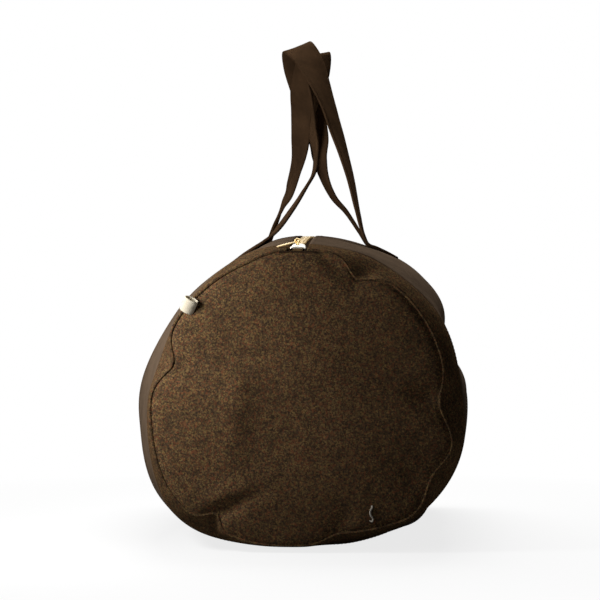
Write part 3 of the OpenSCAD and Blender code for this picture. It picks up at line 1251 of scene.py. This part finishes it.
@dataclass
class Slider:
    """Slider of the zip: an arched plate with a leg on each side of the teeth, and a bridge for the ring.

    Attributes:
        length: Length along the zip.
        half: Half the width over the legs.
        foot: Height of the legs' lower ends over the chain's middle.
        plate: Height of the underside of the plate.
        top: Height of the sides of the plate.
        crown: Rise of the plate's middle over its sides.
        crown_half: Half the width of the plate's highest part.
        shoulder: Width of the rounding over a leg.
        leg: Thickness of a leg.
        flare: Widening of each leg towards the near end.
        end_round: Rounding of the end edges.
        bar: Radius of the bridge's bar.
        bar_z: Height of the bar's middle.
        bar_half: Half the length of the bridge.
        in_cloth: Depth of the chain's middle under the top of the bag.
        park: Angle of the parked slider on the zip's arc.
    """

    length: float = 15.0
    half: float = 6.0
    foot: float = 0.8
    plate: float = 2.4
    top: float = 3.8
    crown: float = 0.9
    crown_half: float = 2.2
    shoulder: float = 0.9
    leg: float = 1.4
    flare: float = 1.1
    end_round: float = 0.6
    bar: float = 0.7
    bar_z: float = 7.65
    bar_half: float = 5.0
    in_cloth: float = 2.8
    park: float = 9.866

    def at(self, local: Array) -> Array:
        """Points at the parked slider, turned by its angle about the middle of the zip's arc.

        Args:
            local: Points given across, along and above the chain.

        Returns:
            Points in the bag's frame.
        """
        a = math.radians(self.park)
        x, y, z = np.moveaxis(local + [0.0, 0.0, FORM.arc_r - self.in_cloth], -1, 0)
        height = y * math.sin(a) + z * math.cos(a) + FORM.arc_z
        return np.stack([x, y * math.cos(a) - z * math.sin(a), height], -1)

    def build_body(self, material: Material) -> Piece:
        """Arch carried along the zip, with legs that flare towards the near end and rounded end edges.

        The outline runs up the right leg, over the arched top, down the left leg and back under the roof.

        Args:
            material: Finish of the piece.

        Returns:
            The finished piece.
        """
        steps = np.array([1.0, 0.97, 0.85, 0.4, -0.1, -0.4, -0.7, -0.87, -0.97, -1.0])[:, None]
        y = self.length / 2 * steps
        edge = self.end_round * smooth((np.abs(steps) - 0.84) / 0.16)
        out = self.half + self.flare * smooth((-y - 0.5) / 5.5) - 0.5 * edge
        inner = np.full_like(y, self.half - self.leg)
        foot = self.foot + edge
        top = self.top - edge
        wide = np.hstack([inner, out, out, out - self.shoulder, np.full_like(y, self.crown_half)])
        high = np.hstack([foot, foot, top - 1.0, top - 0.1, top + self.crown])
        right = np.stack([wide, high], -1)
        left = right[:, ::-1] * [-1, 1]
        roof = np.stack([np.hstack([-inner, inner]), np.full((len(y), 2), self.plate)], -1)
        outline = np.concatenate([right, left, roof], 1)
        path = self.at(np.hstack([0 * y, y, 0 * y]))
        a = math.radians(self.park)
        across = np.broadcast_to([1.0, 0.0, 0.0], path.shape)
        up = np.broadcast_to([0.0, -math.sin(a), math.cos(a)], path.shape)
        caps = np.array([[0, 1, 2, 11], [11, 2, 3, 4], [11, 4, 5, 10], [10, 5, 6, 7], [10, 7, 8, 9]])
        piece = swept("slider_body", path, across, up, outline, material, caps=caps)
        return put(piece, Body.SLIDER, Slot.BRASS, "zip_slider")

    def build_bridge(self, material: Material) -> Piece:
        """Round bar bent over the plate, with the ring's straight run at its top.

        Args:
            material: Finish of the piece.

        Returns:
            The finished piece.
        """
        h, z = self.bar_half, self.bar_z
        side = [(0, -h, self.top), (0, -h, z - 1.6), (0, -h + 0.35, z - 0.5), (0, -h + 1.2, z)]
        near = np.array(side, float)
        path = self.at(np.concatenate([near, near[::-1] * [1, -1, 1]]))
        across, up = side_frame(path, np.array([1.0, 0.0, 0.0]))
        piece = swept("slider_bridge", path, across, up, round_wire(self.bar, 12), material)
        return put(piece, Body.SLIDER, Slot.BRASS)


@dataclass
class Strap:
    """Handle of one side: a flat strap from one sewn end over the top to the other.

    The strap's middle passes through control points, each with the turn of the strap's width in degrees. The
    width lies along the bag at the sewn ends and along a slant across it at the top, half round in all.

    Attributes:
        side: Side of the bag.
        near: Control points from the near foot up.
        top: Highest control point.
        slant: Direction of the width at the top.
        far: Control points from the top down to the far foot.
        laid: Places across the bag where the near foot still lies on it.
        width: Width of the strap.
        thickness: Thickness of the strap.
        clear: Clearance over the skin.
        anchor_y: Distance of the sewn ends from the middle of the bag.
        sewn: Places across the bag along a sewn end.
        sunk: Depths of the first of those places in the cloth.
        steps: Points along the strap.
        hinge_x: Place across the bag where the feet bend; not used.
        hinge_low: Height where the bend starts; not used.
        hinge_high: Height where the bend ends; not used.
    """

    side: Side
    near: tuple[tuple[float, float, float, float], ...]
    top: tuple[float, float, float]
    slant: tuple[float, float, float]
    far: tuple[tuple[float, float, float, float], ...]
    laid: tuple[float, ...] = ()
    width: float = 30.0
    thickness: float = 3.0
    clear: float = 0.3
    anchor_y: float = 100.0
    sewn: tuple[float, ...] = (86.0, 76.0, 66.0, 58.0)
    sunk: tuple[float, ...] = (2.5, 1.8, 0.9)
    steps: int = 240
    hinge_x: float = 52.0
    hinge_low: float = 281.0
    hinge_high: float = 299.0

    def controls(self) -> Array:
        """Control points from the near sewn end to the far one, the turn of the width as a fourth value.

        Returns:
            One row of four values for each point.
        """
        sign = self.side.value
        lift = self.thickness / 2 + self.clear
        lifts = [lift - s for s in self.sunk] + [lift] * len(self.sewn + self.laid)
        lie = [FORM.over(sign * x, -self.anchor_y, h) for x, h in zip(self.sewn + self.laid, lifts)]
        rest = [FORM.over(sign * x, self.anchor_y, h) for x, h in zip(self.sewn, lifts)][::-1]
        near = [(*p, 0.0) for p in lie] + list(self.near)
        far = [(x, y, z, 180.0 - turn) for x, y, z, turn in self.far] + [(*p, 180.0) for p in rest]
        return np.array([*near, (*self.top, 90.0), *far])

    def build(self, material: Material) -> Piece:
        """Rounded strip carried along the curve.

        Args:
            material: Finish of the piece.

        Returns:
            The finished piece.
        """
        line = curve_through(self.controls(), self.steps)
        path = line[:, :3]
        turn = np.radians(line[:, 3:])
        run = unit(np.gradient(path, axis=0))
        wide = np.cos(turn) * [0.0, 1.0, 0.0] + np.sin(turn) * np.array(self.slant)
        across = unit(wide - (wide * run).sum(1, keepdims=True) * run)
        outline = rounded_strip(self.width, self.thickness)
        word = self.side.word
        piece = swept("strap_" + word, path, across, np.cross(run, across), outline, material)
        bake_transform(piece)
        ends = [f"strap_end_{word}_{end.word}" for end in End]
        return note(piece, Slot.STRAP, "handle_" + word, *ends)


RIGHT_STRAP = Strap(
    Side.RIGHT,
    near=(
        (53, -99, 288, 0), (47.5, -91, 309, 3), (40.5, -79, 340, 8), (33.7, -70, 364, 13),
        (26, -63, 388.5, 20), (18.5, -56, 412, 23), (8.5, -44, 437, 34), (-6, -18, 468, 64),
    ),
    top=(-16, 0, 478.5),
    slant=(0.93, 0.0, 0.37),
    far=(
        (-16, 19, 462, 78), (-8.5, 39, 435, 76), (-4, 51, 414.5, 62), (1.5, 61, 393, 42), (2.6, 68, 374, 28),
        (7.3, 76, 354, 15), (16.6, 85, 334.5, 8), (29.8, 92, 319, 4), (43, 98, 299, 2), (50, 99.5, 287, 0),
    ),
)
LEFT_STRAP = Strap(
    Side.LEFT,
    near=(
        (-31, -97.5, 288, -12), (-17.8, -89, 307, -14), (-4.4, -78, 329.5, -9), (4.8, -66.5, 348.5, -8),
        (6.4, -56, 370, -10), (2.4, -43, 392, -13), (2, -26, 428, 14), (3.5, -11, 456, 60),
    ),
    top=(2.5, 0, 471),
    slant=(0.98, 0.0, 0.15),
    far=(
        (-4, 9, 461, 74), (-11.5, 19, 441, 52), (-13.7, 33, 418, 43), (-16, 47, 391, 36),
        (-20.7, 62, 366.7, 24), (-29.5, 77, 340, 20), (-36.5, 85, 327, 12), (-43, 92, 312, 2),
        (-50.5, 98, 293, 0),
    ),
    laid=(48.0, 40.0),
)


@dataclass
class Stitches:
    """Row of machine stitches: short threads whose ends dip into the cloth.

    Attributes:
        pitch: Distance from stitch to stitch.
        length: Length of a stitch.
        radius: Radius of the thread.
        sunk: Depth of a stitch's middle, in radii.
        dive: Further depth of its ends, in radii.
        taper: Share of the radius that is lost at its ends.
        zip_short: Distance by which the rows beside the zip end short of the bands.
        zip_off: Distance of these rows from the edge of the twill.
        band_off: Distance of the rows round the bands from their inner edges.
        steps: Points along a stitch.
        corners: Points round a stitch.
    """

    pitch: float = 3.4
    length: float = 2.7
    radius: float = 0.3
    sunk: float = 0.3
    dive: float = 1.2
    taper: float = 0.5
    zip_short: float = 6.0
    zip_off: float = 3.5
    band_off: float = 4.0
    steps: int = 5
    corners: int = 6

    def build(self, name: str, path: Array, out: Array, material: Material) -> Piece:
        """Thin wires carried over short pieces of a path, thinner and sunk at their ends by a fourth power.

        Args:
            name: Name of the row.
            path: Points of the row on the cloth.
            out: Direction away from the cloth at each point.
            material: Finish of the thread.

        Returns:
            The object.
        """
        run = along(path)
        count = int(run[-1] // self.pitch)
        part = np.linspace(-1.0, 1.0, self.steps)
        t = (np.arange(count)[:, None] + 0.5) * self.pitch + part * self.length / 2
        middle = np.stack([np.interp(t, run, c) for c in path.T], -1)
        away = unit(np.stack([np.interp(t, run, c) for c in out.T], -1))
        ahead = unit(np.gradient(middle, axis=1))
        across = unit(np.cross(away, ahead))
        dip = part[:, None] ** 4
        middle = middle - away * self.radius * (self.sunk + self.dive * dip)
        ring = round_wire(self.radius, self.corners)
        thin = (1 - self.taper * dip)[..., None]
        grid = middle[:, :, None] + thin * (
            ring[:, :1] * across[:, :, None] + ring[:, 1:] * np.cross(ahead, across)[:, :, None]
        )
        each = self.steps * self.corners
        last = each - self.corners
        caps = np.array([[0, 5, 4, 3], [0, 3, 2, 1], [0, 1, 2, 3], [0, 3, 4, 5]])
        caps[2:] += last
        one = np.concatenate([quads(self.steps, self.corners, around=True)[:, ::-1], caps])
        faces = (one + each * np.arange(count)[:, None, None]).reshape(-1, 4)
        girth = np.broadcast_to(along(ring), (count, self.steps, self.corners))
        length = np.broadcast_to(t[..., None], girth.shape)
        uv = np.stack([girth, length], -1).reshape(-1, 2) * MM
        return new_object(name, grid.reshape(-1, 3), faces, uv, material)

    def row(self, name: str, angle: Array, y: Array, material: Material) -> Piece:
        """Row on the bag's skin, over angles and places along it."""
        path = FORM.skin(angle, y)
        return self.build(name, path, FORM.skin(angle, y, -1.0) - path, material)

    def build_bag(self, canvas: Material, tweed: Material) -> None:
        """Rows along both edges of the zip and round the inner edge of each band.

        Args:
            canvas: Finish of the thread beside the zip.
            tweed: Finish of the thread round the bands.
        """
        for side in Side:
            y = np.linspace(self.zip_short - FORM.band_y, FORM.band_y - self.zip_short, 120)
            angle = 90.0 - side.value * FORM.edge_angle(y, FORM.gap + self.zip_off)
            put(self.row("zip_stitches_" + side.word, angle, y, canvas), side.mouth, Slot.CANVAS)
        edge = float(FORM.edge_angle(np.array(FORM.band_y), FORM.gap)) + 2.0
        angle = np.linspace(90.0 + edge, 450.0 - edge, 400)
        for end in End:
            y = np.full_like(angle, end.value * (FORM.band_y + self.band_off))
            put(self.row("band_stitches_" + end.word, angle, y, tweed), Body.BAG, Slot.TWEED)


@dataclass
class Label:
    """Folded plain woven label caught in the near seam.

    Attributes:
        angle: Angle of its place round the seam.
        lean: Turn of the loop from that angle.
        gape: Slope of the ribbon's width along the bag.
        width: Width of the ribbon.
        reach: Length of the loop.
        bulge: Half the loop's thickness.
        thickness: Thickness of the ribbon.
        inset: Depth of the loop's foot inside the skin.
        fore: Distance of the foot in front of the seam.
        half_loop: Half the loop's turn in degrees.
    """

    angle: float = 138.8
    lean: float = 15.0
    gape: float = 0.46
    width: float = 13.5
    reach: float = 12.0
    bulge: float = 3.7
    thickness: float = 0.9
    inset: float = 8.0
    fore: float = 3.2
    half_loop: float = 178.0

    def build(self, material: Material) -> Piece:
        """Strip carried round a flat oval loop that starts and ends in the seam.

        Args:
            material: Finish of the piece.

        Returns:
            The finished piece.
        """
        turn = math.radians(self.angle + self.lean)
        foot = FORM.skin(np.array(self.angle), np.array(-FORM.seam_y), self.inset) - [0.0, self.fore, 0.0]
        tangent = unit(np.array([-math.sin(turn), self.gape, math.cos(turn)]))
        out = unit(np.cross([0.0, 1.0, 0.0], tangent))
        off = np.cross(tangent, out)
        t = np.radians(np.linspace(-self.half_loop, self.half_loop, 48))[:, None]
        path = foot + out * self.reach * 0.5 * (1 + np.cos(t)) + off * self.bulge * np.sin(t)
        across = np.broadcast_to(tangent, path.shape)
        run = unit(np.gradient(path, axis=0))
        shape = rounded_strip(self.width, self.thickness, 5)
        piece = swept("label", path, across, np.cross(run, across), shape, material)
        return put(piece, Body.BAG, Slot.LABEL, "label_loop")


@dataclass
class LooseThread:
    """Short curled end of thread on the near panel, given by its place across, lift and height.

    Attributes:
        points: Control points of the curl.
        radius: Radius of the thread.
    """

    points: tuple[tuple[float, float, float], ...] = (
        (65.0, -1.0, 42.5),
        (65.6, 0.7, 41.0),
        (63.8, 0.5, 37.5),
        (64.3, 0.8, 34.0),
        (66.2, 0.7, 31.0),
        (65.6, 0.8, 28.6),
        (63.2, -0.8, 29.2),
    )
    radius: float = 0.75

    def build(self, panel: Array, material: Material) -> Piece:
        """Round wire carried along the curl, lifted off the nearest points of the panel's grid.

        Args:
            panel: Points of the near panel's grid.
            material: Finish of the piece.

        Returns:
            The finished piece.
        """
        curl = curve_through(np.array(self.points), 40)
        flat = panel.reshape(-1, 3)
        near = np.hypot(flat[:, :1] - curl[:, 0], flat[:, 2:] - curl[:, 2]).argmin(0)
        path = np.stack([curl[:, 0], flat[near, 1] - curl[:, 1], curl[:, 2]], -1)
        across, up = side_frame(path, np.array([0.0, 1.0, 0.0]))
        piece = swept("loose_thread", path, across, up, round_wire(self.radius), material)
        return put(piece, Body.BAG, Slot.LABEL)


@dataclass(frozen=True)
class Lamp:
    """Square soft lamp, with its place and side in metres and its power in watts.

    Attributes:
        name: Name of the lamp.
        place: Its place.
        size: Its side.
        power: Its power.
    """

    name: str
    place: tuple[float, float, float]
    size: float
    power: float

    def build(self, aim: tuple[float, float, float]) -> None:
        """Hang the lamp so that it looks at a point.

        Args:
            aim: Point in metres.
        """
        light = bpy.data.lights.new(self.name, "AREA")
        light.size = self.size
        light.energy = self.power
        made = bpy.data.objects.new(self.name, light)
        made.location = self.place
        made.rotation_euler = (Vector(aim) - Vector(self.place)).to_track_quat("-Z", "Y").to_euler()
        bpy.context.scene.collection.objects.link(made)


@dataclass
class Studio:
    """Floor, soft lights, white background and the camera of the photograph.

    Attributes:
        azimuth: Turn of the camera round the bag.
        elevation: Angle of the camera above the bag.
        distance: Distance from the camera to its aim.
        focal_px: Focal length in pixels.
        frame_px: Side of the picture in pixels.
        sensor: Width of the sensor.
        aim: Point that the camera is set by.
        aim_px: Pixel at which that point is seen.
        floor_half: Half the side of the floor, in metres.
        shadow_in: Distance in metres up to which the floor keeps the shadow.
        shadow_out: Distance in metres at which the shadow is gone.
        shadow_kept: Share of the shadow that is kept.
        floor_seen: Brightness of the floor to the camera.
        floor_bounce: Brightness of the floor to other rays.
        ambient: Strength of the fill.
        lamp_aim: Point in metres that the lamps look at.
        lamps: The lamps.
    """

    azimuth: float = 3.7
    elevation: float = -1.0
    distance: float = 1700.0
    focal_px: float = 1938.0
    frame_px: float = 600.0
    sensor: float = 36.0
    aim: tuple[float, float, float] = (0.0, -236.0, 136.0)
    aim_px: tuple[float, float] = (297.5, 398.0)
    floor_half: float = 12.0
    shadow_in: float = 0.2
    shadow_out: float = 0.75
    shadow_kept: float = 0.2
    floor_seen: float = 0.95
    floor_bounce: float = 0.33
    ambient: float = 0.016
    lamp_aim: tuple[float, float, float] = (0.0, -0.15, 0.22)
    lamps: tuple[Lamp, ...] = (
        Lamp("key", (-0.335, -0.385, 0.31), 0.14, 1.85),
        Lamp("top", (0.0, 0.33, 0.96), 0.7, 11.5),
    )

    def camera(self) -> None:
        """Camera that sees the aim point at its pixel from the distance."""
        az, el = math.radians(self.azimuth), math.radians(self.elevation)
        ahead = Vector((-math.sin(az) * math.cos(el), math.cos(az) * math.cos(el), -math.sin(el)))
        right = Vector((math.cos(az), math.sin(az), 0.0))
        up = right.cross(ahead)
        middle = self.frame_px / 2
        scale = self.distance / self.focal_px
        shift = right * (middle - self.aim_px[0]) * scale + up * (self.aim_px[1] - middle) * scale
        place = (Vector(self.aim) - ahead * self.distance + shift) * MM
        lens = bpy.data.cameras.new("camera")
        lens.sensor_width = self.sensor
        lens.lens = self.focal_px * self.sensor / self.frame_px
        made = bpy.data.objects.new("camera", lens)
        made.matrix_world = Matrix.Translation(place) @ Matrix((right, up, -ahead)).transposed().to_4x4()
        bpy.context.scene.collection.objects.link(made)
        bpy.context.scene.camera = made

    def seen_white(self, tree: Tree) -> Socket:
        """Factor that is 1 for rays from the camera, mirrors and glass, and 0 for light on the object.

        Args:
            tree: Tree of the material or the world.

        Returns:
            Socket of the factor.
        """
        path = tree.add("LightPath").outputs
        glossy = tree.math("MAXIMUM", path["Is Glossy Ray"], path["Is Transmission Ray"])
        return tree.math("MAXIMUM", path["Is Camera Ray"], glossy)

    def world(self) -> None:
        """White to the camera, and a plain grey fill to the object."""
        world = bpy.data.worlds.new("studio")
        world.use_nodes = True
        bpy.context.scene.world = world
        tree = Tree(world.node_tree)
        world.node_tree.nodes.clear()
        fill = tree.add("Background", {"Color": (1, 1, 1, 1), "Strength": self.ambient}).outputs[0]
        white = tree.add("Background", {"Color": (1, 1, 1, 1), "Strength": 1.0}).outputs[0]
        both = tree.add("MixShader", {0: self.seen_white(tree), 1: fill, 2: white}).outputs[0]
        tree.add("OutputWorld", {"Surface": both})

    def floor(self) -> None:
        """Pale floor, white to the camera but keeping a share of its shadow close to the bag."""
        half = self.floor_half / MM
        corners = np.array([[-half, -half, 0], [half, -half, 0], [half, half, 0], [-half, half, 0]])
        material, tree, shader = Finish("floor").start()
        seen = tree.add("LightPath").outputs["Is Camera Ray"]
        pale = tree.mix(seen, (*[self.floor_bounce] * 3, 1.0), (*[self.floor_seen] * 3, 1.0))
        tree.feed(shader, {"Base Color": pale, "Roughness": 0.9, "Specular IOR Level": 0.0})
        white = tree.add("Emission", {"Color": (1, 1, 1, 1), "Strength": 1.0}).outputs[0]
        place = tree.add("TexCoord").outputs["Object"]
        away = tree.add("VectorMath", {0: place}, operation="LENGTH").outputs["Value"]
        near = tree.math("SUBTRACT", 1.0, tree.ramp(away, self.shadow_in, self.shadow_out))
        shadow = tree.math("MULTIPLY", near, self.shadow_kept)
        share = tree.math("MULTIPLY", self.seen_white(tree), tree.math("SUBTRACT", 1.0, shadow))
        both = tree.add("MixShader", {0: share, 1: shader.outputs[0], 2: white}).outputs[0]
        tree.feed(material.node_tree.nodes["Material Output"], {"Surface": both})
        new_object("floor", corners, np.array([[0, 1, 2, 3]]), corners[:, :2] * MM, material)

    def build(self) -> None:
        """Set up everything round the bag."""
        bpy.context.scene.view_settings.view_transform = "Standard"
        self.camera()
        self.world()
        self.floor()
        for lamp in self.lamps:
            lamp.build(self.lamp_aim)


def main() -> None:
    """Build every piece in order."""
    logging.basicConfig(level=logging.INFO, format="%(message)s")
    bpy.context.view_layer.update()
    tweed = Tweed("tweed").material()
    # Darker copy of the tweed for the bands: painted shade where the bands lie back behind the end seams; the
    # cloth is the same as the panels'.
    band_shade_tones = [tone(*c) for c in ((92, 73, 54), (39, 33, 26), (126, 103, 65), (116, 69, 46))]
    shaded_band_tweed = Tweed("tweed_band", *band_shade_tones).material()
    twill = Cloth("twill", tone(104, 87, 71), tone(85, 71, 58)).material()
    strap = Cloth("strap", tone(86, 64, 45), tone(62, 46, 32), pitch=1.3, slant=0.0, depth=0.2).material()
    lining = Cloth("lining", tone(92, 80, 66), tone(74, 62, 50), pitch=0.5, depth=0.05).material()
    tape = Cloth("zip_tape", tone(62, 48, 36), tone(42, 32, 24), pitch=0.8, slant=1.0).material()
    cream, shade = tone(234, 226, 206), tone(212, 201, 178)
    ribbon = Cloth("label", cream, shade, pitch=0.7, slant=0.0, depth=0.1).material()
    thread = Cloth("thread", tone(196, 190, 184), tone(150, 140, 124), pitch=0.6, depth=0.05).material()
    brass = Metal("brass", tone(238, 214, 160), tone(182, 152, 98)).material()
    nickel = Metal("nickel", tone(240, 238, 230), tone(190, 182, 164), 0.25).material()
    dull = Metal("bronze", tone(84, 66, 42), tone(50, 38, 24), 0.5).material()
    for side in Side:
        BodyPanel(side).build(twill)
    inner = Lining()
    for end in End:
        piece = EndPiece(end, folds=NEAR_FOLDS if end is End.NEAR else ())
        piece.build_band(shaded_band_tweed)
        piece.build_panel(tweed)
        piece.build_lining(lining, inner.inside, inner.thickness)
        inner.build_binding(end, strap)
    inner.build(lining)
    inner.build_tape(strap)
    Zip().dress(tape, brass, dull)
    slider = Slider()
    slider.build_body(nickel)
    slider.build_bridge(brass)
    Stitches().build_bag(twill, tweed)
    RIGHT_STRAP.build(strap)
    LEFT_STRAP.build(strap)
    Label().build(ribbon)
    LooseThread().build(EndPiece(End.NEAR, folds=NEAR_FOLDS).disc(0.0), thread)
    Studio().build()


if __name__ == "__main__":
    main()
